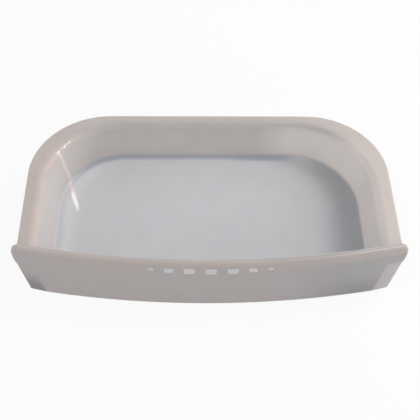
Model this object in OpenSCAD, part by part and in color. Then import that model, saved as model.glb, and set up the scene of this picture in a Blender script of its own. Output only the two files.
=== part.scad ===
// Pull-out pan of a hooded cat litter box: a wide, shallow basin with a broad rim, and a bowed
// front panel with a row of vents, screwed on from below. Millimetres.
// The origin is on the ground, in the middle of the pan's footprint. +X is to the right,
// +Y to the back and +Z up. The front panel faces -Y.

/* [Overall] */
// Width across the top corners of the front panel
overall_w = 400; // [370:1:430]
// Depth from the foot of the front panel to the back of the rim
overall_d = 215; // [200:1:260]

/* [Rim] */
// How far each end of the front panel reaches past the rim
rim_setback = 5; // [3:0.1:8]
// Width of the rim along the sides
rim_side_w = 19.5; // [18:0.5:28]
// Width of the rim along the back
rim_back_w = 15.5; // [15:0.5:28]
// Angle at which the rim falls away towards its outer edge
rim_slope = 8; // [0:0.5:12]
// Radius of the rim's two rear corners
rim_corner_r = 82; // [60:1:95]
// Depth of the rim's downturned skirt below the rim's inner edge
skirt_depth = 13; // [9:0.5:18]

/* [Basin] */
// Depth from the rim's inner edge to the basin's floor
basin_depth = 42; // [36:0.5:44]
// How far the walls lean in between the rim and the floor
wall_run = 10.4; // [3:0.5:14]
// Radius of the basin's two rear corners at the rim
basin_corner_r = 84; // [60:1:95]
// Radius of the rounding between the rim and the walls
shoulder_r = 8.5; // [3:0.5:10]
// Radius of the rounding between the walls and the floor
floor_r = 3.5; // [1:0.5:8]
// Thickness of the rim, walls and floor
wall_t = 2.5; // [1.8:0.1:3]
// Step on the wall's outside where the hollow under the rim starts
hollow_step = 0.4; // [0.2:0.1:1]
// Height of the low front wall above the floor
sill_h = 18; // [10:0.5:24]

/* [Underside] */
// Depth of the ribs and foot bosses under the floor
rib_h = 3.5; // [2:0.1:4.5]
// Thickness of a rib
rib_t = 2; // [1.2:0.1:3]
// Spacing of the ribs that run from side to side
rib_pitch = 45; // [30:1:60]
// Half the distance between the left and the right feet
foot_x = 125; // [105:1:135]
// Distance of the rear feet from the back of the rim
foot_back_y = 50; // [46:1:65]
// Distance of the front feet from the foot of the front panel
foot_front_y = 38; // [32:1:60]
// Height of a foot below its boss
foot_h = 5; // [3:0.5:12]
// Diameter of a foot
foot_d = 22; // [16:0.5:26]
// How far a foot stands out past its boss, all round
foot_lip = 2; // [0:0.5:3]
// Diameter of the stem that plugs a foot into its boss
foot_stem_d = 6; // [4:0.5:9]
// Length of that stem above the boss's mouth
foot_stem_l = 4; // [2:0.1:4]
// Radial clearance round the stem
foot_fit = 0.1; // [0.05:0.05:0.3]

/* [Front panel] */
// Height of the panel's top above the rim's inner edge
panel_rise = 3; // [2:0.5:8]
// Gap between the panel's foot and the ground
panel_ground_gap = 1; // [0.5:0.5:4]
// How far the panel's foot stands out in front of its top
panel_kick = 12; // [4:0.5:18]
// Radius of the bow at the panel's foot, seen from above
bow_r = 1000; // [700:10:1400]
// Depth of the panel's edges from front to back
panel_edge_t = 6; // [5:0.5:9]
// Thickness of the panel's skin
panel_skin_t = 2.5; // [1.8:0.1:3.5]
// Radius of the rolled top edge
lip_r = 5; // [2:0.5:5.5]
// Height of the solid bead behind the rolled top edge
lip_h = 6; // [5:0.5:6]
// Radius of the two top corners, seen from the front
corner_r = 7; // [2:0.5:10]
// Angle at which the two ends lean in towards the foot
end_slant = 16.5; // [5:0.5:20]
// Width of the bevel at each end, at the panel's foot
bevel_foot_w = 16; // [10:0.5:24]
// Width of the bevel at each end, at its top
bevel_top_w = 16; // [10:0.5:20]
// Distance of the bevel's top below the panel's top
bevel_drop = 20; // [14:0.5:28]
// How far the bevel sets the panel's lower corners back
bevel_setback = 1.2; // [0.5:0.1:3]
// Clearance between the panel and the tray behind it
panel_fit = 0.3; // [0.2:0.05:0.6]

/* [Vents] */
// Number of vents on each side of the middle one
vents_per_side = 3; // [0:1:4]
// Width of the middle vent
vent_w = 11.5; // [6:0.5:14]
// Height of the middle vent
vent_h = 7.6; // [4:0.1:10]
// Space between neighbouring vents
vent_gap = 10.7; // [6:0.1:14]
// Distance of the vents' tops below the panel's top
vent_drop = 6.3; // [6.2:0.1:12]
// Angle step of the cosine by which the vents get narrower
vent_w_step = 21; // [8:0.5:21.5]
// Angle step of the cosine by which the vents get lower
vent_h_step = 19; // [5:0.5:21]

/* [Fasteners] */
// Distance of the screws from the rim's outer edge
screw_inset = 11.5; // [11:0.5:12.5]
// Distance of the front screws behind the panel's back edge
screw_back = 8; // [7:0.5:12]
// Spacing of the two screws on one side
screw_pitch = 16; // [12:0.5:24]
// Diameter of a screw's shank
screw_d = 3; // [2.5:0.1:3.5]
// Length of a screw under its head
screw_l = 8; // [7:0.5:9]
// Diameter of a screw's head
screw_head_d = 6.4; // [5:0.1:7]
// Height of a screw's head
screw_head_h = 2.2; // [1.5:0.1:3]
// Clearance of the screw in the lug, and of the lug's sides
screw_fit = 0.3; // [0.1:0.05:0.5]
// Thickness of the two lugs on the back of the panel
lug_t = 3; // [2.5:0.1:3.5]
// Width of a lug, and of the boss above it
lug_w = 10; // [9:0.5:12]
// Height of the screw bosses' mouths below the rim's inner edge
boss_depth = 9; // [8:0.1:10]

/* [Hidden] */
$fn = 64;

greige = [0.72, 0.67, 0.63];
panel_greige = [0.64, 0.60, 0.58];
rubber_grey = [0.45, 0.44, 0.43];
steel = [0.74, 0.74, 0.75];

arc_steps = 8;
over = 1;
front_y = -overall_d / 2;
back_y = overall_d / 2;

// Heights, from the ground up.
boss_z = foot_h;
under_z = boss_z + rib_h;
floor_z = under_z + wall_t;
rim_z = floor_z + basin_depth;

// The basin's plan: straight walls joined by two corners about these centres.
rim_half_w = overall_w / 2 - rim_setback;
basin_half_w = rim_half_w - rim_side_w;
basin_back_y = back_y - rim_back_w;
basin_cx = basin_half_w - basin_corner_r;
basin_cy = basin_back_y - basin_corner_r;

// The walls lean by wall_lean from the vertical.
wall_lean = atan(wall_run / basin_depth);
wall_side_t = wall_t / cos(wall_lean);

// The rim's corners, and the farthest that the rim reaches outside the basin's corner centres.
rim_cx = rim_half_w - rim_corner_r;
rim_cy = back_y - rim_corner_r;
rim_end = over + max(rim_half_w - basin_cx, back_y - basin_cy,
                     rim_corner_r + norm([rim_cx - basin_cx, rim_cy - basin_cy]));

// The panel's front is a cone about a vertical axis far behind it.
axis_y = front_y + bow_r;
panel_z0 = panel_ground_gap;
panel_z1 = rim_z + panel_rise;
panel_h = panel_z1 - panel_z0;
panel_lean = atan(panel_kick / panel_h);
bow_angle = 2 * asin((overall_w / 2 + panel_edge_t) / (bow_r - panel_kick));

// The bevel's corner points on the panel's front.
foot_end_x = end_x(panel_z0);
bevel_z = panel_z1 - bevel_drop;

screw_x = rim_half_w - screw_inset;
lug_z = rim_z - boss_depth - lug_t;

// Points of an arc about [u, z], from angle a0 to angle a1.
function arc(u, z, r, a0, a1) =
    [for (i = [0 : arc_steps]) let (a = a0 + (a1 - a0) * i / arc_steps) [u + r * cos(a), z + r * sin(a)]];

// Distance of the wall's inner face outside the corner centres, at height z.
function wall_u(z) = basin_corner_r - (rim_z - z) * tan(wall_lean);

// Height of the rim's top, at distance u outside the corner centres.
function rim_top(u) = rim_z - (u - basin_corner_r) * tan(rim_slope);

// The rounding between the wall and the rim, with its centre at shoulder_u outside the basin's
// edge, and the rounding between the wall and the floor.
shoulder_u = shoulder_r * (1 / cos(wall_lean) - tan(wall_lean) / cos(rim_slope))
             / (1 + tan(rim_slope) * tan(wall_lean));
shoulder_z = rim_z - shoulder_u * tan(rim_slope) - shoulder_r / cos(rim_slope);
function shoulder_arc() =
    arc(basin_corner_r + shoulder_u, shoulder_z, shoulder_r, 180 - wall_lean, 90 - rim_slope);
function floor_arc() =
    arc(wall_u(floor_z + floor_r) - floor_r / cos(wall_lean), floor_z + floor_r, floor_r, -90, -wall_lean);

// Height of the rim's top or of its rounding, at distance u outside the corner centres.
function rim_skin(u) =
    let (c = basin_corner_r + shoulder_u)
    u > c ? rim_top(u) : shoulder_z + sqrt(max(0, pow(shoulder_r, 2) - pow(c - u, 2)));

// Radius of the panel's front about the bow's axis, at height z, and the front's y at [x, z].
function front_r(z) = bow_r - panel_kick * (z - panel_z0) / panel_h;
function front_face_y(x, z) = axis_y - sqrt(pow(front_r(z), 2) - x * x);

// Half the panel's width along its slanted ends, at height z.
function end_x(z) =
    overall_w / 2 - corner_r + corner_r * cos(end_slant)
    - (panel_z1 - corner_r - corner_r * sin(end_slant) - z) * tan(end_slant);

// A solid that follows the basin's plan. The profile's points are [u, z], with u the distance
// outside the corner centres.
module basin_sweep(profile) {
    translate([-basin_cx, basin_cy, 0]) rotate([90, 0, 90]) linear_extrude(2 * basin_cx) polygon(profile);
    for (side = [0, 1]) mirror([side, 0, 0]) translate([basin_cx, basin_cy, 0]) {
        rotate([90, 0, 0]) linear_extrude(basin_cy - front_y + over) polygon(profile);
        rotate_extrude(angle = 90) polygon(profile);
    }
}

// The block between the two sides of the basin, in front of its back.
module basin_middle(z0, z1) {
    translate([-basin_cx, front_y - over, z0]) cube([2 * basin_cx, basin_cy - front_y + over, z1 - z0]);
}

// The rim's outline, moved in by inset, as an upright solid between two heights.
module rim_outline(inset, z0, z1) {
    r = rim_corner_r - inset;
    w = rim_half_w - inset;
    translate([0, 0, z0]) linear_extrude(z1 - z0) union() {
        translate([-w, front_y - over]) square([2 * w, rim_cy - front_y + over]);
        translate([-rim_cx, front_y - over]) square([2 * rim_cx, rim_cy + r - front_y + over]);
        for (side = [-1, 1]) translate([side * rim_cx, rim_cy]) circle(r);
    }
}

// Everything behind the panel's front, moved back by inset.
module behind_front(inset) {
    low = -over;
    high = panel_z1 + over;
    translate([0, axis_y, 0]) rotate_extrude($fn = 256)
        polygon([[0, low], [front_r(low) - inset, low], [front_r(high) - inset, high], [0, high]]);
}

// The basin, its rim and the block below the rim that the skirt is cut from.
module tray_blank() {
    basin_middle(under_z, floor_z);
    basin_sweep(concat([[0, under_z], [0, floor_z]], floor_arc(), shoulder_arc(),
                       [[rim_end, rim_top(rim_end)], [rim_end, rim_z - skirt_depth],
                        [wall_u(rim_z - skirt_depth) + wall_side_t, rim_z - skirt_depth],
                        [wall_u(under_z) + wall_side_t, under_z]]));
}

// The hollow under the rim, between the wall and the skirt. It starts hollow_step outside the wall
// below it, where the mould's two halves meet.
module rim_hollow() {
    rim_t = wall_t / cos(rim_slope);
    outer = wall_side_t + hollow_step;
    fillet_u = basin_corner_r + outer + shoulder_r / 2;
    low = rim_z - skirt_depth - over;
    high = rim_top(basin_corner_r + outer) - shoulder_r;
    intersection() {
        rim_outline(wall_t, low, rim_z);
        basin_sweep([[wall_u(low) + outer, low], [wall_u(high) + outer, high],
                     [fillet_u, rim_top(fillet_u) - rim_t], [rim_end, rim_top(rim_end) - rim_t], [rim_end, low]]);
    }
}

// The low front wall, still reaching past the panel.
module sill_blank() {
    low = under_z + wall_t / 2;
    top = floor_z + sill_h;
    difference() {
        union() {
            basin_middle(low, top);
            basin_sweep([[0, low], [0, top], [wall_u(top) + wall_t / 2, top], [wall_u(low) + wall_t / 2, low]]);
        }
        behind_front(panel_edge_t + panel_fit + wall_t);
    }
}

// Ribs and foot bosses under the floor.
module underside() {
    rib_half_w = foot_x + foot_d / 2;
    front_foot = front_y + foot_front_y;
    span = back_y - foot_back_y - front_foot;
    rows = max(1, round(span / rib_pitch));
    root = wall_t / 2;
    for (i = [0 : rows])
        translate([-rib_half_w, front_foot + span * i / rows - rib_t / 2, boss_z])
            cube([2 * rib_half_w, rib_t, rib_h + root]);
    for (x = [-foot_x, 0, foot_x])
        translate([x - rib_t / 2, front_foot, boss_z]) cube([rib_t, span, rib_h + root]);
    at_feet() cylinder(h = rib_h + root, d = foot_d - 2 * foot_lip);
}

module at_feet() {
    for (x = [-foot_x, foot_x], y = [front_y + foot_front_y, back_y - foot_back_y])
        translate([x, y, boss_z]) children();
}

// The screws' places in plan: side is -1 or 1, row is 0 at the front and 1 at the rear.
function screw_y(row) = front_face_y(screw_x, lug_z) + panel_edge_t + screw_back + row * screw_pitch;
module at_screw(side, row) {
    translate([side * screw_x, screw_y(row), lug_z]) children();
}

// The bosses that the screws bite into, as one block on each side that ends inside the rim.
module screw_bosses() {
    low = rim_z - boss_depth;
    x0 = screw_x - lug_w / 2;
    roof = [for (i = [0 : arc_steps]) let (x = x0 + lug_w * i / arc_steps)
            [x, rim_skin(x - basin_cx) - wall_t / 2]];
    for (side = [0, 1]) mirror([side, 0, 0])
        translate([0, screw_y(1) + lug_w / 2, 0]) rotate([90, 0, 0]) linear_extrude(screw_pitch + lug_w)
            polygon(concat([[x0 + lug_w, low], [x0, low]], roof));
}

module tray() {
    socket_l = foot_stem_l + foot_fit;
    color(greige) difference() {
        intersection() {
            union() {
                difference() {
                    intersection() {
                        tray_blank();
                        rim_outline(0, 0, rim_z + over);
                    }
                    rim_hollow();
                }
                sill_blank();
                underside();
                screw_bosses();
            }
            behind_front(panel_edge_t + panel_fit);
        }
        at_feet() translate([0, 0, -over]) cylinder(h = socket_l + over, d = foot_stem_d + 2 * foot_fit);
        for (side = [-1, 1], row = [0, 1])
            at_screw(side, row) translate([0, 0, lug_t - over]) cylinder(h = screw_l - lug_t + over, d = screw_d);
    }
}

// The panel's front outline with its slanted ends and round top corners, moved in by inset.
module end_outline(inset) {
    z0 = panel_z0 - over;
    z1 = panel_z1 + over;
    low_x = end_x(z0) - inset / cos(end_slant);
    corner = arc(overall_w / 2 - corner_r, panel_z1 - corner_r, corner_r, -end_slant, 90);
    right = inset == 0 ? concat([[low_x, z0]], corner)
                       : [[low_x, z0], [end_x(z1) - inset / cos(end_slant), z1]];
    left = [for (i = [len(right) - 1 : -1 : 0]) [-right[i][0], right[i][1]]];
    translate([0, back_y, 0]) rotate([90, 0, 0]) linear_extrude(overall_d + over) polygon(concat(right, left));
}

// The half-space in front of one end's bevel, moved in by inset. The bevel is the plane through
// two points of the panel's front and the lower corner, which is set back.
module bevel_cut(inset) {
    bottom = [foot_end_x - bevel_foot_w, front_face_y(foot_end_x - bevel_foot_w, panel_z0), panel_z0];
    top_x = end_x(bevel_z) - bevel_top_w;
    top = [top_x, front_face_y(top_x, bevel_z), bevel_z];
    corner = [foot_end_x, front_face_y(foot_end_x, panel_z0) + bevel_setback, panel_z0];
    out = cross(top - bottom, corner - bottom);
    n = out[1] < 0 ? out / norm(out) : -out / norm(out);
    size = 60;
    intersection() {
        translate(bottom - inset * n) rotate([0, acos(n[2]), atan2(n[1], n[0])])
            translate([-size, -size, 0]) cube([2 * size, 2 * size, size]);
        translate([0, front_y - size, -size]) cube([overall_w, overall_d, bevel_z + size - inset / 2]);
    }
}

// The panel as a solid block whose faces are moved in by inset. A moved block runs out past the
// back, so that what it cuts is open there.
module panel_block(inset) {
    skew = inset / cos(panel_lean);
    back = panel_edge_t + (inset > 0 ? over : 0);
    z0 = panel_z0 + inset;
    z1 = inset > 0 ? panel_z1 - lip_h : panel_z1;
    lip = arc(front_r(z1 - lip_r) - lip_r / cos(panel_lean), z1 - lip_r, lip_r, panel_lean, 90);
    front = inset > 0 ? [[front_r(z1) - skew, z1]] : lip;
    difference() {
        intersection() {
            translate([0, axis_y, 0]) rotate([0, 0, -90 - bow_angle / 2]) rotate_extrude(angle = bow_angle, $fn = 256)
                polygon(concat([[front_r(z0) - back, z0], [front_r(z0) - skew, z0]], front,
                               [[front_r(z1) - back, z1]]));
            end_outline(inset);
        }
        bevel_cut(inset);
        mirror([1, 0, 0]) bevel_cut(inset);
    }
}

// Width and height of vent number i, counted from the middle one, and its distance from there.
function vent_size(i) = [vent_w * cos(vent_w_step * i), vent_h * cos(vent_h_step * i)];
function vent_x(i) = i == 0 ? 0 : vent_x(i - 1) + (vent_size(i - 1)[0] + vent_size(i)[0]) / 2 + vent_gap;

module vents() {
    r = bow_r - panel_kick;
    for (i = [-vents_per_side : vents_per_side]) {
        size = vent_size(abs(i));
        turn = sign(i) * asin(vent_x(abs(i)) / r);
        translate([0, axis_y, panel_z1 - vent_drop - size[1]]) rotate([0, 0, turn])
            translate([-size[0] / 2, -bow_r - over, 0]) cube([size[0], panel_kick + panel_edge_t + 2 * over, size[1]]);
    }
}

// The two lugs that reach back from the panel, under the screw bosses.
module lugs() {
    for (side = [-1, 1]) {
        root_y = front_face_y(screw_x + lug_w / 2, lug_z) + panel_skin_t / 2;
        end_y = screw_y(1) + lug_w / 2;
        translate([side * screw_x - lug_w / 2, root_y, lug_z]) cube([lug_w, end_y - root_y, lug_t]);
    }
}

module front_panel() {
    color(panel_greige) difference() {
        union() {
            difference() {
                panel_block(0);
                panel_block(panel_skin_t);
            }
            lugs();
        }
        vents();
        for (side = [-1, 1], row = [0, 1])
            at_screw(side, row) translate([0, 0, -over]) cylinder(h = lug_t + 2 * over, d = screw_d + 2 * screw_fit);
    }
}

// A pan-head screw, head down, with its head against the lug and a cross recess.
module panel_screw(side, row) {
    recess_w = screw_head_d / 6;
    color(steel) at_screw(side, row) difference() {
        union() {
            translate([0, 0, -screw_head_h]) cylinder(h = screw_head_h, d1 = screw_head_d * 0.8, d2 = screw_head_d);
            cylinder(h = screw_l - 0.5, d = screw_d);
        }
        for (a = [0, 90]) rotate([0, 0, a])
            translate([-screw_head_d / 3, -recess_w / 2, -screw_head_h - over])
                cube([screw_head_d * 2 / 3, recess_w, over + screw_head_h / 2]);
    }
}

// A soft foot: a disc with a rounded edge and the stem that plugs into the boss.
module foot(side, rear) {
    edge = min(boss_z / 3, 1.2);
    y = rear ? back_y - foot_back_y : front_y + foot_front_y;
    color(rubber_grey) translate([side * foot_x, y, 0]) rotate_extrude()
        polygon(concat([[0, 0]], arc(foot_d / 2 - edge, edge, edge, -90, 0), [[foot_d / 2, boss_z],
                       [foot_stem_d / 2, boss_z], [foot_stem_d / 2, boss_z + foot_stem_l], [0, boss_z + foot_stem_l]]));
}

tray();
front_panel();
panel_screw(-1, 0);  // left_front_screw
panel_screw(-1, 1);  // left_rear_screw
panel_screw(1, 0);  // right_front_screw
panel_screw(1, 1);  // right_rear_screw
foot(-1, false);  // front_left_foot
foot(1, false);  // front_right_foot
foot(-1, true);  // rear_left_foot
foot(1, true);  // rear_right_foot
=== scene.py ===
"""Looks of a pull-out litter pan with a bowed, vented front panel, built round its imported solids."""

import logging
import math
from collections.abc import Callable, Iterable, Sequence
from dataclasses import dataclass
from enum import Enum
from typing import Union

import bmesh
import bpy
from mathutils import Matrix, Vector

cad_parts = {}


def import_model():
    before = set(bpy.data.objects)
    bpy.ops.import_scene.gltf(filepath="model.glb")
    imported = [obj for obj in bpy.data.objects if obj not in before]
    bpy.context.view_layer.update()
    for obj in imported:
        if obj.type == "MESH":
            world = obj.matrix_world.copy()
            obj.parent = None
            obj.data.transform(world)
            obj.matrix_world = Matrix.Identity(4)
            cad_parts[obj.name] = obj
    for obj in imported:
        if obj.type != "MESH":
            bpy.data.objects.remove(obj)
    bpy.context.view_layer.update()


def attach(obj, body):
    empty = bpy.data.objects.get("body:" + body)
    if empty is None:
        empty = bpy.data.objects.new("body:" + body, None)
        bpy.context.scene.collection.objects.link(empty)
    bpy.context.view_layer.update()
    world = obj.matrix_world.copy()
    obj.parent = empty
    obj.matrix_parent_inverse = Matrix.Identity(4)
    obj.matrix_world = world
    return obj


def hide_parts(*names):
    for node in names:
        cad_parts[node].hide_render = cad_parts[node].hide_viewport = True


LOG = logging.getLogger("litter_pan")
MM = 0.001
OVER = 4 * MM  # how far a solid that cuts or is cut back reaches past the cut

Value = Union[float, "Wire"]
Point2 = tuple[float, float]
Point3 = tuple[float, float, float]
Colour = tuple[float, float, float]
Band = tuple[float, float]  # where a mask is 0 and where it is 1


class Side(Enum):
    """The left and the right of the pan, as the sign of X."""

    LEFT = -1
    RIGHT = 1


class Row(Enum):
    """The front and the rear of a pair, as a step along +Y."""

    FRONT = 0
    REAR = 1


class Change(Enum):
    """How a tool changes a piece, with the name that the modifier has for it."""

    JOIN = "UNION"
    CUT = "DIFFERENCE"


# ---------------------------------------------------------------- shader maths


class Wire:
    """One output socket, with arithmetic that adds Math nodes."""

    def __init__(self, graph: "Graph", socket: bpy.types.NodeSocket) -> None:
        """Wraps a socket.

        Args:
            graph: the node graph that the socket is in.
            socket: the output socket.
        """
        self.graph = graph
        self.socket = socket

    def _maths(self, operation: str, *values: Value) -> "Wire":
        """Adds a Math node on these values and returns its output."""
        return self.graph.add("ShaderNodeMath", {"operation": operation}, dict(enumerate(values))).out()

    def __add__(self, other: Value) -> "Wire":
        """self + other."""
        return self._maths("ADD", self, other)

    def __radd__(self, other: Value) -> "Wire":
        """other + self."""
        return self._maths("ADD", other, self)

    def __sub__(self, other: Value) -> "Wire":
        """self - other."""
        return self._maths("SUBTRACT", self, other)

    def __rsub__(self, other: Value) -> "Wire":
        """other - self."""
        return self._maths("SUBTRACT", other, self)

    def __mul__(self, other: Value) -> "Wire":
        """self * other."""
        return self._maths("MULTIPLY", self, other)

    def __rmul__(self, other: Value) -> "Wire":
        """other * self."""
        return self._maths("MULTIPLY", other, self)

    def size(self) -> "Wire":
        """The value without its sign."""
        return self._maths("ABSOLUTE", self)

    def at_least(self, other: Value) -> "Wire":
        """The larger of the two."""
        return self._maths("MAXIMUM", self, other)

    def root(self) -> "Wire":
        """The square root."""
        return self._maths("SQRT", self)

    def step(self, low: float, high: float) -> "Wire":
        """Eases from 0 to 1.

        Args:
            low: the value at which it is 0.
            high: the value at which it is 1, which may be the smaller of the two.

        Returns:
            The eased value.
        """
        made = self.graph.add("ShaderNodeMapRange", {"interpolation_type": "SMOOTHSTEP", "clamp": True},
                              {"Value": self, "From Min": min(low, high), "From Max": max(low, high)})
        return made.out() if low < high else 1 - made.out()

    def past(self, start: float, band: Band) -> "Wire":
        """Eases from 0 to 1 over a band that is measured from a start."""
        return self.step(start + band[0], start + band[1])


class Node:
    """A node that was added to a graph."""

    def __init__(self, graph: "Graph", node: bpy.types.Node) -> None:
        """Wraps a node.

        Args:
            graph: the graph that the node is in.
            node: the node.
        """
        self.graph = graph
        self.node = node

    def out(self, name: Union[int, str] = 0) -> Wire:
        """The output socket of that name or place."""
        return Wire(self.graph, self.node.outputs[name])


class Graph:
    """A material's or the world's node tree."""

    def __init__(self, tree: bpy.types.NodeTree) -> None:
        """Empties the tree and takes it over.

        Args:
            tree: the node tree.
        """
        self.tree = tree
        tree.nodes.clear()

    def add(self, kind: str, settings: dict[str, object], inputs: dict[Union[int, str], object]) -> Node:
        """Adds a node.

        Args:
            kind: the node's type.
            settings: its own settings.
            inputs: a value or a Wire for each input socket, by name or place.

        Returns:
            The new node.
        """
        node = self.tree.nodes.new(kind)
        for name, value in settings.items():
            setattr(node, name, value)
        for name, value in inputs.items():
            if isinstance(value, Wire):
                self.tree.links.new(value.socket, node.inputs[name])
            else:
                node.inputs[name].default_value = value
        return Node(self, node)

    def blend(self, factor: Value, low: object, high: object, how: str = "MIX") -> Wire:
        """Mixes two colours.

        Args:
            factor: 0 for low and 1 for high.
            low: a colour or a Wire.
            high: a colour or a Wire.
            how: the Mix node's blend type.

        Returns:
            The mixed colour.
        """
        colours = [c if isinstance(c, Wire) else (*c, 1.0) for c in (low, high)]
        made = self.add("ShaderNodeMix", {"data_type": "RGBA", "blend_type": how, "clamp_factor": True},
                        {0: factor, 6: colours[0], 7: colours[1]})
        return made.out(2)

    def vector(self, operation: str, *values: object) -> Wire:
        """Adds a Vector Math node and returns its vector."""
        return self.add("ShaderNodeVectorMath", {"operation": operation}, dict(enumerate(values))).out()

    def noise(self, place: Wire, size: float, detail: float,
              stretch: Sequence[float] = (1, 1, 1)) -> Wire:
        """Noise from 0 to 1.

        Args:
            place: where to sample it.
            size: the size of a patch, in metres.
            detail: how many finer octaves are added.
            stretch: how much longer the patches are along X, Y and Z.

        Returns:
            The noise.
        """
        scaled = self.vector("MULTIPLY", place, [1 / (size * s) for s in stretch])
        made = self.add("ShaderNodeTexNoise", {"noise_dimensions": "3D"},
                        {"Vector": scaled, "Scale": 1.0, "Detail": detail, "Roughness": 0.55})
        return made.out("Fac")

    def place(self) -> Wire:
        """The point being shaded, in metres."""
        return self.add("ShaderNodeNewGeometry", {}, {}).out("Position")

    def parts(self, vector: Wire) -> tuple[Wire, Wire, Wire]:
        """X, Y and Z of a vector."""
        split = self.add("ShaderNodeSeparateXYZ", {}, {0: vector})
        return split.out(0), split.out(1), split.out(2)

    def bump(self, height: Wire, depth: float, strength: float) -> Wire:
        """The normal of a surface with that relief.

        Args:
            height: the relief, from 0 to 1.
            depth: how far 1 stands above 0, in metres.
            strength: how much of it shows.

        Returns:
            The normal.
        """
        inputs = {"Strength": strength, "Distance": depth, "Height": height}
        return self.add("ShaderNodeBump", {}, inputs).out()


# ---------------------------------------------------------------- sizes


@dataclass(frozen=True)
class PanSizes:
    """The sizes that the tray and its front panel share, in metres, as the solids have them."""

    overall_w: float = 400 * MM
    overall_d: float = 215 * MM
    rim_setback: float = 5 * MM
    rim_side_w: float = 19.5 * MM
    rim_back_w: float = 15.5 * MM
    rim_slope: float = math.radians(8)
    rim_corner_r: float = 82 * MM
    skirt_depth: float = 13 * MM
    basin_depth: float = 42 * MM
    wall_run: float = 10.4 * MM
    basin_corner_r: float = 84 * MM
    shoulder_r: float = 8.5 * MM
    floor_r: float = 3.5 * MM
    wall_t: float = 2.5 * MM
    hollow_step: float = 0.4 * MM
    sill_h: float = 18 * MM
    foot_h: float = 5 * MM
    rib_h: float = 3.5 * MM
    panel_rise: float = 3 * MM
    panel_ground_gap: float = 1 * MM
    panel_kick: float = 12 * MM
    bow_r: float = 1000 * MM
    panel_edge_t: float = 6 * MM
    panel_skin_t: float = 2.5 * MM
    lip_r: float = 5 * MM
    lip_h: float = 6 * MM
    corner_r: float = 7 * MM
    end_slant: float = math.radians(16.5)
    panel_fit: float = 0.3 * MM
    lug_t: float = 3 * MM
    lug_w: float = 10 * MM
    boss_depth: float = 9 * MM
    screw_inset: float = 11.5 * MM
    screw_back: float = 8 * MM
    screw_pitch: float = 16 * MM

    @property
    def front_y(self) -> float:
        """The panel's foot."""
        return -self.overall_d / 2

    @property
    def back_y(self) -> float:
        """The back of the rim."""
        return self.overall_d / 2

    @property
    def under_z(self) -> float:
        """The underside of the floor."""
        return self.foot_h + self.rib_h

    @property
    def floor_z(self) -> float:
        """The basin's floor."""
        return self.under_z + self.wall_t

    @property
    def rim_z(self) -> float:
        """The rim's inner edge."""
        return self.floor_z + self.basin_depth

    @property
    def rim_half_w(self) -> float:
        """Half the rim's width."""
        return self.overall_w / 2 - self.rim_setback

    @property
    def basin_cx(self) -> float:
        """X of the basin's right corner centre."""
        return self.rim_half_w - self.rim_side_w - self.basin_corner_r

    @property
    def basin_cy(self) -> float:
        """Y of the basin's corner centres."""
        return self.back_y - self.rim_back_w - self.basin_corner_r

    @property
    def wall_lean(self) -> float:
        """How far the walls lean from upright."""
        return math.atan(self.wall_run / self.basin_depth)

    @property
    def wall_side_t(self) -> float:
        """The wall's thickness, measured level."""
        return self.wall_t / math.cos(self.wall_lean)

    @property
    def axis_y(self) -> float:
        """Y of the bow's axis."""
        return self.front_y + self.bow_r

    @property
    def panel_z0(self) -> float:
        """The panel's foot."""
        return self.panel_ground_gap

    @property
    def panel_z1(self) -> float:
        """The panel's top."""
        return self.rim_z + self.panel_rise

    @property
    def panel_lean(self) -> float:
        """How far the panel leans from upright."""
        return math.atan(self.panel_kick / (self.panel_z1 - self.panel_z0))

    @property
    def screw_x(self) -> float:
        """Distance of the screws from the middle."""
        return self.rim_half_w - self.screw_inset

    @property
    def lug_z(self) -> float:
        """The underside of the lugs."""
        return self.rim_z - self.boss_depth - self.lug_t

    def wall_u(self, z: float) -> float:
        """Distance of the wall's inner face outside the corner centres, at height z."""
        return self.basin_corner_r - (self.rim_z - z) * math.tan(self.wall_lean)

    def rim_top(self, u: float) -> float:
        """Height of the rim's top, at distance u outside the corner centres."""
        return self.rim_z - (u - self.basin_corner_r) * math.tan(self.rim_slope)

    def front_r(self, z: float) -> float:
        """Radius of the panel's front about the bow's axis, at height z."""
        return self.bow_r - self.panel_kick * (z - self.panel_z0) / (self.panel_z1 - self.panel_z0)

    def bow_y(self, x: float, radius: float) -> float:
        """Y of the circle of that radius about the bow's axis, at x."""
        return self.axis_y - math.sqrt(radius * radius - x * x)

    def end_x(self, z: float) -> float:
        """Half the panel's width along its slanted ends and round top corners.

        Args:
            z: the height.

        Returns:
            The half width.
        """
        centre_z = self.panel_z1 - self.corner_r
        turn = centre_z - self.corner_r * math.sin(self.end_slant)
        if z > turn:
            rise = min(max(z - centre_z, -self.corner_r), self.corner_r)
            return self.overall_w / 2 - self.corner_r + math.sqrt(self.corner_r ** 2 - rise ** 2)
        return (self.overall_w / 2 - self.corner_r + self.corner_r * math.cos(self.end_slant)
                - (turn - z) * math.tan(self.end_slant))

    def screw_y(self, row: Row) -> float:
        """Y of a screw."""
        front = self.bow_y(self.screw_x, self.front_r(self.lug_z))
        return front + self.panel_edge_t + self.screw_back + row.value * self.screw_pitch


SIZES = PanSizes()


# ---------------------------------------------------------------- mesh tools


def arc(centre: Point2, radius: float, start: float, end: float, steps: int) -> list[Point2]:
    """Points of an arc.

    Args:
        centre: its centre.
        radius: its radius.
        start: its first angle, in radians.
        end: its last angle, in radians.
        steps: how many chords it has.

    Returns:
        The points, both ends included.
    """
    return [(centre[0] + radius * math.cos(a), centre[1] + radius * math.sin(a))
            for a in (start + (end - start) * i / steps for i in range(steps + 1))]


def spread(low: float, high: float, steps: int) -> list[float]:
    """Evenly spaced values from low to high, both included."""
    return [low + (high - low) * i / steps for i in range(steps + 1)]


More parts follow.
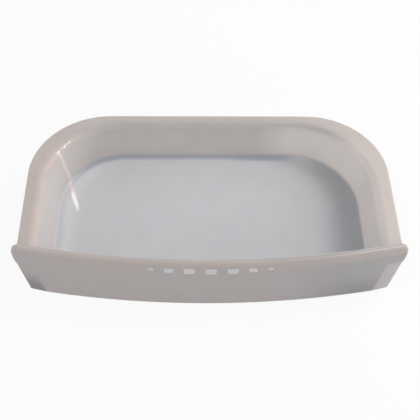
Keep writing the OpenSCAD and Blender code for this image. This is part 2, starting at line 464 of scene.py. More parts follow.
class Shape:
    """A mesh that is being put together, and the object that it becomes."""

    def __init__(self) -> None:
        """Starts an empty mesh."""
        self.mesh = bmesh.new()

    def sweep(self, loops: Sequence[Sequence[Vector]], closed: bool = True) -> list[list[bmesh.types.BMVert]]:
        """Joins loops of as many points each with quads.

        Args:
            loops: the points of each loop, in order along the sweep.
            closed: whether each loop's last point joins its first.

        Returns:
            The new vertices, loop by loop.
        """
        rings = [[self.mesh.verts.new(p) for p in loop] for loop in loops]
        count = len(rings[0])
        for near, far in zip(rings, rings[1:]):
            for i in range(count if closed else count - 1):
                j = (i + 1) % count
                self.mesh.faces.new((near[i], near[j], far[j], far[i]))
        return rings

    def cap(self, ring: Sequence[bmesh.types.BMVert]) -> None:
        """Closes a ring with one face."""
        self.mesh.faces.new(ring)

    def solid(self, loops: Sequence[Sequence[Vector]]) -> None:
        """Sweeps closed loops and caps both ends.

        Args:
            loops: the points of each loop, in order along the sweep.
        """
        rings = self.sweep(loops)
        self.cap(rings[0][::-1])
        self.cap(rings[-1])

    def lathe(self, profile: Sequence[Point2], centre: Vector, steps: int) -> None:
        """Turns a profile about a vertical axis.

        Args:
            profile: (radius, height) points that start and end on the axis.
            centre: where the axis stands, and height 0.
            steps: how many segments go round.
        """
        low = self.mesh.verts.new(centre + Vector((0, 0, profile[0][1])))
        high = self.mesh.verts.new(centre + Vector((0, 0, profile[-1][1])))
        loops = [[centre + Vector((r * math.cos(a), r * math.sin(a), z))
                  for a in (2 * math.pi * i / steps for i in range(steps))] for r, z in profile[1:-1]]
        rings = self.sweep(loops)
        for i in range(steps):
            j = (i + 1) % steps
            self.mesh.faces.new((low, rings[0][j], rings[0][i]))
            self.mesh.faces.new((high, rings[-1][i], rings[-1][j]))

    def box(self, low: Sequence[float], high: Sequence[float]) -> None:
        """Adds an upright box between two corners."""
        level = [(low[0], low[1]), (high[0], low[1]), (high[0], high[1]), (low[0], high[1])]
        self.solid([[Vector((x, y, z)) for x, y in level] for z in (low[2], high[2])])

    def object(self, name: str) -> bpy.types.Object:
        """Makes the object, with its faces turned outwards.

        Args:
            name: the object's name.

        Returns:
            The object, in the scene.
        """
        bmesh.ops.recalc_face_normals(self.mesh, faces=self.mesh.faces)
        data = bpy.data.meshes.new(name)
        self.mesh.to_mesh(data)
        self.mesh.free()
        made = bpy.data.objects.new(name, data)
        bpy.context.scene.collection.objects.link(made)
        return made


def apply_modifiers(piece: bpy.types.Object) -> None:
    """Turns a piece and its modifiers into a plain mesh.

    Args:
        piece: the piece.
    """
    evaluated = piece.evaluated_get(bpy.context.evaluated_depsgraph_get())
    data = bpy.data.meshes.new_from_object(evaluated)
    old = piece.data
    piece.modifiers.clear()
    piece.data = data
    bpy.data.meshes.remove(old)


def combine(piece: bpy.types.Object, tool: bpy.types.Object, change: Change) -> None:
    """Joins a tool to a piece or cuts it out of it, and deletes the tool.

    Args:
        piece: the piece that changes.
        tool: the other solid.
        change: how it changes.
    """
    modifier = piece.modifiers.new("combine", "BOOLEAN")
    modifier.operation, modifier.object, modifier.solver = change.value, tool, "EXACT"
    modifier.use_self = change is Change.JOIN
    apply_modifiers(piece)
    data = tool.data
    bpy.data.objects.remove(tool)
    bpy.data.meshes.remove(data)


def ease_edges(piece: bpy.types.Object, width: float, angle: float, segments: int) -> None:
    """Rounds a piece's sharp edges.

    Args:
        piece: the piece.
        width: the rounding's width, in metres.
        angle: the smallest angle that counts as sharp, in degrees.
        segments: how many strips make the rounding.
    """
    modifier = piece.modifiers.new("ease", "BEVEL")
    modifier.width, modifier.segments = width, segments
    modifier.limit_method, modifier.angle_limit = "ANGLE", math.radians(angle)
    apply_modifiers(piece)


def smooth(piece: bpy.types.Object, angle: float = 32.0) -> None:
    """Shades a piece smooth, with its flats kept flat.

    Args:
        piece: the piece.
        angle: the smallest angle of an edge that stays sharp, in degrees.
    """
    mesh = bmesh.new()
    mesh.from_mesh(piece.data)
    bmesh.ops.dissolve_degenerate(mesh, edges=mesh.edges, dist=1e-6)
    bmesh.ops.remove_doubles(mesh, verts=mesh.verts, dist=2e-6)
    for face in mesh.faces:
        face.smooth = True
    for edge in mesh.edges:
        edge.smooth = len(edge.link_faces) == 2 and edge.calc_face_angle(0.0) < math.radians(angle)
    mesh.to_mesh(piece.data)
    mesh.free()
    modifier = piece.modifiers.new("flats", "WEIGHTED_NORMAL")
    modifier.keep_sharp, modifier.weight = True, 80


def finish_piece(piece: bpy.types.Object, material: bpy.types.Material, slot: str, *nodes: str) -> None:
    """Dresses a piece and puts it in the place of its solids.

    Args:
        piece: the piece.
        material: its material.
        slot: a material slot's name; not used.
        nodes: the solids that it stands for.
    """
    piece.data.materials.clear()
    piece.data.materials.append(material)
    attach(piece, "root")
    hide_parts(*nodes)
    LOG.info("%s: %d faces for %s", piece.name, len(piece.data.polygons), ", ".join(nodes))


# ---------------------------------------------------------------- finishes


def material(name: str) -> tuple[bpy.types.Material, Graph]:
    """Makes an empty material.

    Args:
        name: its name.

    Returns:
        The material and its graph.
    """
    made = bpy.data.materials.new(name)
    made.use_nodes = True
    return made, Graph(made.node_tree)


def surface(graph: Graph, fixed: dict[str, object], driven: dict[str, Wire]) -> None:
    """Ends a graph in a Principled shader.

    Args:
        graph: the graph.
        fixed: the sockets that are the same all over.
        driven: the sockets that change over the surface.
    """
    shader = graph.add("ShaderNodeBsdfPrincipled", {}, {**fixed, **driven})
    graph.add("ShaderNodeOutputMaterial", {}, {"Surface": shader.out()})


@dataclass(frozen=True)
class Spot:
    """A point of the tray.

    Attributes:
        x: its place along X.
        y: its place along Y.
        z: its height.
        out: its distance outside the corner centres.
        back: its distance behind the corner centres.
        right: 1 on the right of the pan.
    """

    x: Wire
    y: Wire
    z: Wire
    out: Wire
    back: Wire
    right: Wire


def clouded(graph: Graph, colour: Wire, mottle: Wire, cloud: Wire, tints: tuple[Colour, Colour]) -> Wire:
    """Dulls a colour a little in broad and in small patches.

    Args:
        graph: the graph.
        colour: the colour.
        mottle: the broad noise.
        cloud: the small noise.
        tints: what the broad and the small patches are multiplied by.

    Returns:
        The new colour.
    """
    broad, small = tints
    colour = graph.blend(mottle.step(0.35, 0.70) * 0.5, colour, broad, "MULTIPLY")
    return graph.blend(cloud.step(0.45, 0.75) * 0.5, colour, small, "MULTIPLY")


@dataclass(frozen=True)
class TrayPlastic:
    """Milky greige plastic, warm on the walls and cooler on the floor, with light and shade painted on the
    walls, rim and floor.

    Its bands are measured from the wall's foot, the floor, the rim's inner edge, the corner centres,
    the painted streak's own line or the middle.
    """

    rim: Colour = (0.551, 0.487, 0.455)
    # painted shade: the back rim is darker where it faces away from the light
    rim_back: Colour = (0.510, 0.460, 0.437)
    # painted highlight along the rounded shoulder on the left
    shoulder: Colour = (0.600, 0.512, 0.480)
    # painted shade on the back shoulder, darker than the back rim
    shoulder_back: Colour = (0.480, 0.448, 0.430)
    # painted reflection: a pale streak of a slim lamp's glare down the left rear corner and onto the floor
    painted_streak: Colour = (0.860, 0.740, 0.720)
    wall: Colour = (0.622, 0.587, 0.568)
    # painted light: the right wall is lighter, as if lit through from outside
    wall_right_painted_light: Colour = (0.790, 0.742, 0.718)
    floor: Colour = (0.583, 0.584, 0.607)
    # painted light: the floor is paler along the left wall
    floor_painted_light: Colour = (0.650, 0.650, 0.675)
    # painted shadow cast by the right wall onto the floor
    floor_painted_shadow: Colour = (0.385, 0.396, 0.421)
    # painted shade in the crease along the floor's back edge
    crease: Colour = (0.385, 0.410, 0.455)
    tints: tuple[Colour, Colour] = ((0.95, 0.945, 0.95), (0.95, 0.95, 0.955))
    roughness: float = 0.38
    right_x: Band = (50 * MM, 95 * MM)
    behind_y: Band = (45 * MM, 80 * MM)
    floor_out: Band = (1.2 * MM, -0.4 * MM)
    floor_low: Band = (-1.5 * MM, -0.5 * MM)
    floor_high: Band = (7 * MM, 0.5 * MM)
    shoulder_in: Band = (-3 * MM, 2 * MM)
    shoulder_out: Band = (12 * MM, 5 * MM)
    border_out: Band = (-3 * MM, 9 * MM)
    painted_shadow_out: Band = (-56 * MM, -16 * MM)
    painted_shadow_x: Band = (85 * MM, 150 * MM)
    painted_shadow_skew: float = 0.12
    pale_out: Band = (-26 * MM, -8 * MM)
    crease_out: Band = (-8 * MM, -1 * MM)
    crease_back: Band = (25 * MM, 65 * MM)
    crease_x: Band = (108 * MM, 82 * MM)
    crease_wider: float = 3 * MM
    crease_wider_x: Band = (10 * MM, 70 * MM)
    painted_streak_share: float = 0.75
    painted_wall_streak_shift: float = 5 * MM
    painted_wall_streak_turn: float = 1.60
    painted_wall_streak_lean: float = 0.05
    painted_wall_streak_off: Band = (5.5 * MM, 2.5 * MM)
    painted_wall_streak_out: Band = (5 * MM, 1 * MM)
    painted_wall_streak_skin: Band = (2 * MM, 1 * MM)
    painted_wall_streak_low: Band = (-1 * MM, 0.0)
    painted_wall_streak_top_z: Band = (44 * MM, 46 * MM)
    painted_floor_streak_at: Point2 = (-154.7 * MM, 37.1 * MM)
    painted_floor_streak_turn: float = 0.3075
    painted_floor_streak_off: Band = (3.5 * MM, 1.5 * MM)
    painted_floor_streak_near: Band = (4 * MM, 22 * MM)
    painted_floor_streak_far: Band = (46 * MM, 40 * MM)
    sizes: PanSizes = SIZES

    def floor_share(self, at: Spot) -> Wire:
        """Finds the basin's floor.

        Args:
            at: the point.

        Returns:
            1 on the floor and 0 off it.
        """
        floor = self.sizes.floor_z
        level = at.z.past(floor, self.floor_low) * at.z.past(floor, self.floor_high)
        return at.out.past(self.sizes.wall_u(floor), self.floor_out) * level

    def wall_colour(self, g: Graph, at: Spot) -> Wire:
        """Colours the walls, the shoulder and the rim, with painted light on the right wall, a painted
        highlight on the left shoulder and painted shade on the back rim and back shoulder.

        Args:
            g: the graph.
            at: the point.

        Returns:
            The colour.
        """
        corner = self.sizes.basin_corner_r
        behind = at.back.step(*self.behind_y)
        bend = at.out.past(corner, self.shoulder_in) * at.out.past(corner, self.shoulder_out)
        # painted light on the right wall
        wall = g.blend(at.right, self.wall, self.wall_right_painted_light)
        # painted shade along the back rim
        border = g.blend(behind, self.rim, self.rim_back)
        colour = g.blend(at.out.past(corner, self.border_out), wall, border)
        # painted highlight on the left shoulder, painted shade on the back one
        turned = g.blend(behind, self.shoulder, self.shoulder_back)
        return g.blend(bend * (1 - at.right * (1 - behind)), colour, turned)

    def floor_colour(self, g: Graph, at: Spot) -> Wire:
        """Colours the floor: a painted shadow at the right end, painted light by the left wall and painted
        shade along the back crease.

        Args:
            g: the graph.
            at: the point.

        Returns:
            The colour.
        """
        foot = self.sizes.wall_u(self.sizes.floor_z)
        # painted shadow of the right wall on the floor
        painted_shadow = (at.out - at.y * self.painted_shadow_skew).past(foot, self.painted_shadow_out) * at.x.step(*self.painted_shadow_x)
        # painted light on the floor along the left wall
        pale = at.out.past(foot, self.pale_out) * (1 - at.right)
        wider = at.x.step(*self.crease_wider_x) * self.crease_wider
        # painted shade along the crease, wider at the right
        cool = (at.out + wider).past(foot, self.crease_out)
        cool = cool * at.back.step(*self.crease_back) * at.x.step(*self.crease_x)
        ground = g.blend(painted_shadow, g.blend(pale, self.floor, self.floor_painted_light), self.floor_painted_shadow)
        return g.blend(cool, ground, self.crease)

    def painted_wall_streak(self, at: Spot) -> Wire:
        """Finds the pale painted reflection streak down the inside of the left rear corner.

        Args:
            at: the point.

        Returns:
            1 on the mark and 0 off it.
        """
        s = self.sizes
        corner, foot, rise = s.basin_corner_r, s.wall_u(s.floor_z), at.z - s.floor_z
        off = (at.x + s.basin_cx + (at.y - s.basin_cy) * self.painted_wall_streak_turn
               - rise * self.painted_wall_streak_lean + self.painted_wall_streak_shift)
        line = off.size().step(*self.painted_wall_streak_off) * at.out.past(corner, self.painted_wall_streak_out)
        inner = (at.out - rise * (s.wall_run / s.basin_depth)).past(foot, self.painted_wall_streak_skin)
        inner = inner * at.z.past(s.floor_z, self.painted_wall_streak_low)
        return line * inner.at_least(at.z.step(*self.painted_wall_streak_top_z))

    def painted_floor_streak(self, at: Spot) -> Wire:
        """Finds the end of the painted reflection streak, on the floor.

        Args:
            at: the point.

        Returns:
            1 on the mark and 0 off it.
        """
        mark_x, mark_y = self.painted_floor_streak_at
        off = at.x - mark_x + (at.y - mark_y) * self.painted_floor_streak_turn
        along = at.y.step(*self.painted_floor_streak_near) * at.y.step(*self.painted_floor_streak_far)
        return off.size().step(*self.painted_floor_streak_off) * along

    def build(self) -> bpy.types.Material:
        """Makes the material.

        Returns:
            The material.
        """
        made, g = material("tray_plastic")
        s = self.sizes
        place = g.place()
        x, y, z = g.parts(place)
        side = (x.size() - s.basin_cx).at_least(0.0)
        back = (y - s.basin_cy).at_least(0.0)
        at = Spot(x, y, z, (side * side + back * back).root(), back, x.step(*self.right_x))
        floor = self.floor_share(at)
        mottle = g.noise(place, 70 * MM, 2.0)
        # painted reflection streak on the left rear wall and on the floor
        streak = self.painted_wall_streak(at) * (1 - floor) * (1 - at.right)
        colour = g.blend(streak * self.painted_streak_share, self.wall_colour(g, at), self.painted_streak)
        colour = g.blend(floor, colour, self.floor_colour(g, at))
        colour = g.blend(self.painted_floor_streak(at) * floor * self.painted_streak_share, colour, self.painted_streak)
        colour = clouded(g, colour, mottle, g.noise(place, 16 * MM, 3.0), self.tints)
        scuffs = g.noise(place, 1.0 * MM, 2.0, (9, 2, 1)) * g.noise(place, 30 * MM, 1.0)
        rough = self.roughness + (mottle - 0.5) * 0.08 + (scuffs - 0.25) * 0.05 - floor * 0.04
        relief = g.noise(place, 0.9 * MM, 2.0) * 0.05 + g.noise(place, 38 * MM, 1.0)
        surface(g, {"IOR": 1.49, "Specular IOR Level": 0.25, "Coat Roughness": 0.03, "Coat IOR": 1.5,
                    "Subsurface Weight": 0.12, "Subsurface Radius": (9 * MM, 7 * MM, 6 * MM),
                    "Subsurface Scale": 1.0},
                {"Base Color": colour, "Roughness": rough, "Normal": g.bump(relief, 0.10 * MM, 0.35),
                 "Coat Weight": 0.55 + (mottle - 0.5) * 0.10})
        return made


@dataclass(frozen=True)
class PanelPlastic:
    """Opaque greige plastic with a fine satin surface, painted a little lighter on the rolled edge, with more
    painted light and shade on its face, bevels, vents and back edge.

    Its bands are measured from the panel's top, foot or front, the bevels' creases and tops, the
    ground or the middle.
    """

    face: Colour = (0.490, 0.448, 0.440)
    # painted shade: darker on the right of the face
    face_right_shade: Colour = (0.412, 0.393, 0.396)
    # painted shade: darker along the foot on the right
    face_foot_shade: Colour = (0.318, 0.306, 0.318)
    # painted light: the rolled lip is lighter; painted shade on its crown
    lip: Colour = (0.502, 0.446, 0.423)
    lip_top_shade: Colour = (0.385, 0.352, 0.336)
    # painted shade on the left bevel, darkest towards the foot; painted light on the right bevel
    bevel_left_shade: Colour = (0.285, 0.262, 0.268)
    bevel_right_light: Colour = (0.515, 0.488, 0.486)
    # painted highlight along the lip's back top edge
    edge: Colour = (0.860, 0.800, 0.770)
    # painted light on the vents' cut sides
    cut: Colour = (0.640, 0.610, 0.590)
    tints: tuple[Colour, Colour] = ((0.94, 0.93, 0.93), (0.94, 0.94, 0.945))
    roughness: float = 0.42
    edge_share: float = 0.6
    right_x: Band = (40 * MM, 150 * MM)
    foot_x: Band = (90 * MM, 160 * MM)
    foot_z: Band = (34 * MM, 2 * MM)
    bevel_past: Band = (-2.5 * MM, 2 * MM)
    bevel_high: Band = (4 * MM, -3 * MM)
    dark_ends: Band = (-6 * MM, 2 * MM)
    left_x: Band = (0.0, -1 * MM)
    lip_high: Band = (-11 * MM, -4 * MM)
    crown_depth: Band = (1.5 * MM, 4 * MM)
    crown_high: Band = (-2.5 * MM, -0.8 * MM)
    crown_x: Band = (20 * MM, 110 * MM)
    cut_depth: Band = (0.25 * MM, 0.6 * MM)
    cut_high: Band = (0.3 * MM, -0.1 * MM)
    cut_low: Band = (-18 * MM, -17.5 * MM)
    edge_depth: Band = (5.2 * MM, 5.8 * MM)
    edge_high: Band = (-1.0 * MM, -0.3 * MM)
    edge_x: Band = (50 * MM, 110 * MM)
    sizes: PanSizes = SIZES

    def face_colour(self, g: Graph, x: Wire, z: Wire) -> Wire:
        """Colours the front and its bevels, with painted shade on the right and at the foot on the right,
        painted shade on the left bevel and painted light on the right bevel.

        Args:
            g: the graph.
            x: the place along X.
            z: the height.

        Returns:
            The colour.
        """
        low, high = self.sizes.panel_z0, self.sizes.panel_z1 - FrontPanel.bevel_drop
        foot, top = FrontPanel().crease_x(low), FrontPanel().crease_x(high)
        run = (top - foot) / (high - low)
        past = x.size() - (foot - low * run) - z * run
        bevel = past.step(*self.bevel_past) * z.past(high, self.bevel_high)
        left = x.step(*self.left_x)
        # painted shade on the left bevel, painted light on the right one
        dark = bevel * left * z.step(high + self.dark_ends[0], low + self.dark_ends[1])
        # painted shade on the right and along the foot on the right
        face = g.blend(x.step(*self.right_x), self.face, self.face_right_shade)
        face = g.blend(x.step(*self.foot_x) * z.step(*self.foot_z), face, self.face_foot_shade)
        face = g.blend(bevel * (1 - left), face, self.bevel_right_light)
        return g.blend(dark, face, self.bevel_left_shade)

    def lip_colour(self, g: Graph, face: Wire, x: Wire, z: Wire, depth: Wire) -> Wire:
        """Adds the rolled lip with painted light and a crown of painted shade, painted light on the cut sides
        of the vents and a painted highlight on the back edge.

        Args:
            g: the graph.
            face: the face's colour.
            x: the place along X.
            z: the height.
            depth: the distance behind the front.

        Returns:
            The colour.
        """
        top = self.sizes.panel_z1
        lip_z = top - self.sizes.lip_h
        # painted light on the rolled lip, painted shade on its crown
        colour = g.blend(z.past(top, self.lip_high), face, self.lip)
        crown = depth.step(*self.crown_depth) * z.past(top, self.crown_high)
        colour = g.blend(crown * x.step(*self.crown_x), colour, self.lip_top_shade)
        # painted light on the cut sides of the vents
        cut = depth.step(*self.cut_depth) * z.past(lip_z, self.cut_high)
        colour = g.blend(cut * z.past(top, self.cut_low), colour, self.cut)
        # painted highlight along the back top edge, on the right
        edge = depth.step(*self.edge_depth) * z.past(top, self.edge_high)
        return g.blend(edge * x.step(*self.edge_x) * self.edge_share, colour, self.edge)

    def build(self) -> bpy.types.Material:
        """Makes the material.

        Returns:
            The material.
        """
        made, g = material("panel_plastic")
        s = self.sizes
        place = g.place()
        x, y, z = g.parts(place)
        lean = s.panel_kick / (s.panel_z1 - s.panel_z0)
        radius = (x * x + (y - s.axis_y) * (y - s.axis_y)).root()
        depth = s.bow_r - (z - s.panel_z0) * lean - radius
        mottle = g.noise(place, 45 * MM, 2.0)
        colour = self.lip_colour(g, self.face_colour(g, x, z), x, z, depth)
        colour = clouded(g, colour, mottle, g.noise(place, 9 * MM, 3.0), self.tints)
        brushed = g.noise(place, 1.1 * MM, 2.0, (12, 1, 1))
        relief = g.noise(place, 0.7 * MM, 2.0) * 0.5 + brushed * 0.3
        lip = z.past(s.panel_z1, self.lip_high)
        rough = self.roughness + (mottle - 0.5) * 0.10 + (brushed - 0.5) * 0.08 - lip * 0.06
        surface(g, {"IOR": 1.49, "Coat Roughness": 0.25},
                {"Base Color": colour, "Roughness": rough, "Normal": g.bump(relief, 0.05 * MM, 0.30),
                 "Coat Weight": 0.10 + (mottle - 0.5) * 0.05})
        return made


@dataclass(frozen=True)
class ScrewSteel:
    """Plain stainless steel, turned, with darker rubbed patches."""

    clean: Colour = (0.62, 0.62, 0.63)
    rubbed: Colour = (0.38, 0.37, 0.36)
    roughness: float = 0.28

    def build(self) -> bpy.types.Material:
        """Makes the material.

        Returns:
            The material.
        """
        made, g = material("screw_steel")
        place = g.place()
        rings = g.noise(place, 0.25 * MM, 2.0, (1, 1, 6))
        patches = g.noise(place, 2.5 * MM, 3.0).step(0.45, 0.75)
        colour = g.blend(patches, self.clean, self.rubbed)
        rough = self.roughness + rings * 0.15 + patches * 0.15
        surface(g, {"Metallic": 1.0},
                {"Base Color": colour, "Roughness": rough, "Normal": g.bump(rings, 0.02 * MM, 0.4)})
        return made


@dataclass(frozen=True)
class FootRubber:
    """Matte grey rubber with dust on it."""

    clean: Colour = (0.155, 0.150, 0.145)
    dusty: Colour = (0.300, 0.285, 0.270)
    roughness: float = 0.72

    def build(self) -> bpy.types.Material:
        """Makes the material.

        Returns:
            The material.
        """
        made, g = material("foot_rubber")
        place = g.place()
        grain = g.noise(place, 0.35 * MM, 2.0)
        dust = g.noise(place, 4 * MM, 4.0).step(0.42, 0.72)
        colour = g.blend(dust * 0.5, self.clean, self.dusty)
        surface(g, {"IOR": 1.5}, {"Base Color": colour, "Roughness": self.roughness + dust * 0.15,
                                  "Normal": g.bump(grain, 0.05 * MM, 0.6)})
        return made


# ---------------------------------------------------------------- pieces


@dataclass(frozen=True)
class Tray:
    """The basin with its rim, skirt, front sill, ribs and bosses.

    A hold is how far the row of points that keeps a stretch straight stays from the corner beside it.
    """

    sizes: PanSizes = SIZES
    edge_r: float = 1.6 * MM
    skirt_r: float = 0.7 * MM
    sill_r: float = 1.0 * MM
    rib_t: float = 2 * MM
    rib_pitch: float = 45 * MM
    foot_x: float = 125 * MM
    foot_back_y: float = 50 * MM
    foot_front_y: float = 38 * MM
    foot_boss_r: float = 9 * MM
    corner_steps: int = 56
    floor_lap: float = 4 * MM
    floor_hold: float = 1.5 * MM
    wall_rows: tuple[float, ...] = (0.04, 0.2, 0.4, 0.6, 0.8, 0.96)
    rim_rows: tuple[float, ...] = (0.08, 0.35, 0.65, 0.92)
    rim_hold: float = 1 * MM
    skirt_hold: float = 0.5 * MM
    hollow_bulge: Point2 = (0.9 * MM, 2.2 * MM)
    base_hold: float = 2 * MM
    base_ease: tuple[Point2, ...] = ((-0.2 * MM, 0.7 * MM), (-1.0 * MM, 0.0))
    sill_hold: float = 0.2 * MM
    cut_past: float = 10 * MM
    rib_past: float = 2 * MM
    boss_chamfer: float = 0.6 * MM
    boss_crown: float = 0.754
    boss_fall: float = 1.9
    boss_dip: float = 0.45 * MM
    boss_sink: float = 0.55

    def reach(self, turn: float, inset: float) -> float:
        """How far the rim's outline lies from the basin's corner centre.

        Args:
            turn: the direction, from 0 to the right to a quarter turn to the back.
            inset: how far the outline is moved in.

        Returns:
            The distance.
        """
        s = self.sizes
        cos, sin = math.cos(turn), math.sin(turn)
        centre_x = s.rim_half_w - s.rim_corner_r - s.basin_cx
        centre_y = s.back_y - s.rim_corner_r - s.basin_cy
        to_side = (s.rim_half_w - inset - s.basin_cx) / cos if cos > 1e-9 else math.inf
        to_back = (s.back_y - inset - s.basin_cy) / sin if sin > 1e-9 else math.inf
        if to_side * sin <= centre_y:
            return to_side
        if to_back * cos <= centre_x:
            return to_back
        along = centre_x * cos + centre_y * sin
        apart = centre_x ** 2 + centre_y ** 2 - (s.rim_corner_r - inset) ** 2
        return along + math.sqrt(along ** 2 - apart)

    def section(self, turn: float) -> list[Point2]:
        """The tray's section as (distance outside the corner centres, height) points.

        Args:
            turn: the section's direction, which sets how far the rim reaches.

        Returns:
            The points, from the floor up, over the rim and back under the floor.
        """
        s = self.sizes
        lean, slope = s.wall_lean, s.rim_slope
        foot = s.wall_u(s.floor_z + s.floor_r) - s.floor_r / math.cos(lean)
        points: list[Point2] = [(foot - self.floor_lap, s.floor_z), (foot - self.floor_hold, s.floor_z)]
        points += arc((foot, s.floor_z + s.floor_r), s.floor_r, -math.pi / 2, -lean, 10)
        shoulder_u = (s.shoulder_r * (1 / math.cos(lean) - math.tan(lean) / math.cos(slope))
                      / (1 + math.tan(slope) * math.tan(lean)))
        shoulder_z = s.rim_z - shoulder_u * math.tan(slope) - s.shoulder_r / math.cos(slope)
        shoulder = arc((s.basin_corner_r + shoulder_u, shoulder_z), s.shoulder_r,
                       math.pi - lean, math.pi / 2 - slope, 20)
        (u0, z0), (u1, z1) = points[-1], shoulder[0]
        points += [(u0 + (u1 - u0) * t, z0 + (z1 - z0) * t) for t in self.wall_rows]
        points += shoulder
        far = self.reach(turn, 0.0)
        edge = self.edge_r
        edge_u = far - edge
        edge_z = s.rim_top(edge_u + edge * math.sin(slope)) - edge * math.cos(slope)
        rim_end = edge_u + edge * math.sin(slope)
        rim_start = shoulder[-1][0]
        points += [(u, s.rim_top(u)) for u in (rim_start + (rim_end - rim_start) * t for t in self.rim_rows)]
        points += arc((edge_u, edge_z), edge, math.pi / 2 - slope, 0.0, 8)
        low = s.rim_z - s.skirt_depth
        near = self.reach(turn, s.wall_t)
        points += [(far, edge_z - self.rim_hold), (far, low + self.skirt_r + self.skirt_hold)]
        points += arc((far - self.skirt_r, low + self.skirt_r), self.skirt_r, 0.0, -math.pi / 2, 3)
        points += arc((near + self.skirt_r, low + self.skirt_r), self.skirt_r, -math.pi / 2, -math.pi, 3)
        rim_t = s.wall_t / math.cos(slope)
        roof = self.edge_r
        points += [(near, low + self.skirt_r + self.skirt_hold), (near, s.rim_top(near) - rim_t - roof)]
        points += arc((near - roof, s.rim_top(near) - rim_t - roof), roof, 0.0, math.pi / 2 - slope, 4)[1:]
        outer = s.wall_side_t + s.hollow_step
        high = s.rim_top(s.basin_corner_r + outer) - s.shoulder_r
        fillet_u = s.basin_corner_r + outer + s.shoulder_r / 2
        bulge_u, bulge_z = self.hollow_bulge
        points += [(fillet_u, s.rim_top(fillet_u) - rim_t),
                   (s.wall_u(high) + outer + bulge_u, high + bulge_z), (s.wall_u(high) + outer, high)]
        points += [(s.wall_u(low) + outer, low), (s.wall_u(low) + s.wall_side_t, low)]
        base = s.wall_u(s.under_z) + s.wall_side_t
        points += [(s.wall_u(s.under_z + self.base_hold) + s.wall_side_t, s.under_z + self.base_hold)]
        points += [(base + u, s.under_z + z) for u, z in self.base_ease]
        points += [(base - self.floor_lap, s.under_z)]
        return points

    def shell(self) -> bpy.types.Object:
        """Builds the basin and its rim, still reaching past the panel.

        Returns:
            The basin.
        """
        s = self.sizes
        quarter = math.pi / 2
        front = s.front_y - OVER
        half = [((s.basin_cx, y), 0.0) for y in spread(front, s.basin_cy, 10)[:-1]]
        half += [((s.basin_cx, s.basin_cy), turn) for turn in spread(0.0, quarter, self.corner_steps)]
        half += [((x, s.basin_cy), quarter) for x in spread(s.basin_cx, 0.0, 6)[1:]]
        loops: list[list[Vector]] = []
        for mirror in (1, -1):
            stations = half if mirror == 1 else half[-2::-1]
            for (x, y), turn in stations:
                loops.append([Vector((mirror * (x + u * math.cos(turn)), y + u * math.sin(turn), z))
                              for u, z in self.section(turn)])
        shape = Shape()
        rings = shape.sweep(loops, closed=False)
        shape.cap([ring[0] for ring in rings])
        shape.cap([ring[-1] for ring in rings][::-1])
        shape.cap([*rings[0], *rings[-1][::-1]])
        return shape.object("tray")

    def bowed(self, name: str, profile: Sequence[Point2],
              reach: Callable[[float], float]) -> bpy.types.Object:
        """A solid that follows the panel's bow, with a flat front in front of the panel.

        Args:
            name: the object's name.
            profile: (height, distance behind the panel's front) points, from the bottom up.
            reach: half the solid's width, at a height.

        Returns:
            The object.
        """
        s = self.sizes
        flat = s.front_y - 3 * OVER
        loops = []
        for t in spread(-1.0, 1.0, 96):
            curved = [Vector((t * reach(z), s.bow_y(t * reach(z), s.front_r(z) - back), z))
                      for z, back in profile]
            ends = [profile[-1][0], profile[0][0]]
            loops.append([*curved, *(Vector((t * reach(z), flat, z)) for z in ends)])
        shape = Shape()
        shape.solid(loops)
        return shape.object(name)

    def sill(self) -> bpy.types.Object:
        """Builds the low front wall, still reaching past the panel.

        Returns:
            The sill.
        """
        s = self.sizes
        low, top = s.under_z + s.wall_t / 2, s.floor_z + s.sill_h
        back = s.panel_edge_t + s.panel_fit + s.wall_t
        r = self.sill_r
        profile = [(low, back), (s.floor_z - self.sill_hold, back), (s.floor_z + r, back), (top - r, back)]
        profile += [(top - r + r * math.sin(a), back - r + r * math.cos(a))
                    for a in spread(0.0, math.pi / 2, 4)[1:]]
        return self.bowed("sill", profile, lambda z: s.basin_cx + s.wall_u(z) + s.wall_t / 2)

    def front_cut(self) -> bpy.types.Object:
        """Fills everything in front of the panel's back.

        Returns:
            The solid that cuts the tray.
        """
        s = self.sizes
        back = s.panel_edge_t + s.panel_fit
        profile = [(z, back) for z in spread(-self.cut_past, s.panel_z1 + self.cut_past, 6)]
        return self.bowed("front_cut", profile, lambda z: s.overall_w / 2 + 2 * self.cut_past)

    def underside(self) -> bpy.types.Object:
        """Builds the ribs, the feet's bosses and the screws' bosses.

        Returns:
            The ribs and bosses.
        """
        s = self.sizes
        shape = Shape()
        front, rear = s.front_y + self.foot_front_y, s.back_y - self.foot_back_y
        top = s.under_z + s.wall_t / 2
        rows = max(1, round((rear - front) / self.rib_pitch))
        half_w = self.foot_x + self.foot_boss_r + self.rib_past
        for y in spread(front, rear, rows):
            shape.box((-half_w, y - self.rib_t / 2, s.foot_h), (half_w, y + self.rib_t / 2, top))
        for x in (-self.foot_x, 0.0, self.foot_x):
            shape.box((x - self.rib_t / 2, front, s.foot_h), (x + self.rib_t / 2, rear, top))
        for x in (-self.foot_x, self.foot_x):
            for y in (front, rear):
                shape.lathe([(0, s.foot_h), (self.foot_boss_r - self.boss_chamfer, s.foot_h),
                             (self.foot_boss_r, s.foot_h + self.boss_chamfer), (self.foot_boss_r, top),
                             (0, top)], Vector((x, y, 0)), 48)
        low = s.rim_z - s.boss_depth
        ends = (s.screw_y(Row.FRONT) - s.lug_w / 2, s.screw_y(Row.REAR) + s.lug_w / 2)
        near, far = s.screw_x - s.lug_w / 2, s.screw_x + s.lug_w / 2
        crown = s.basin_corner_r + s.shoulder_r * self.boss_crown
        crown_z = s.rim_top(crown) - self.boss_dip
        loop = [(near, low)]
        for x in spread(near, far, 6):
            u = x - s.basin_cx
            fall = max(0.0, crown - u) ** 2 / (self.boss_fall * s.shoulder_r)
            loop.append((x, min(s.rim_top(u), crown_z - fall) - s.wall_t * self.boss_sink))
        loop.append((far, low))
        for side in Side:
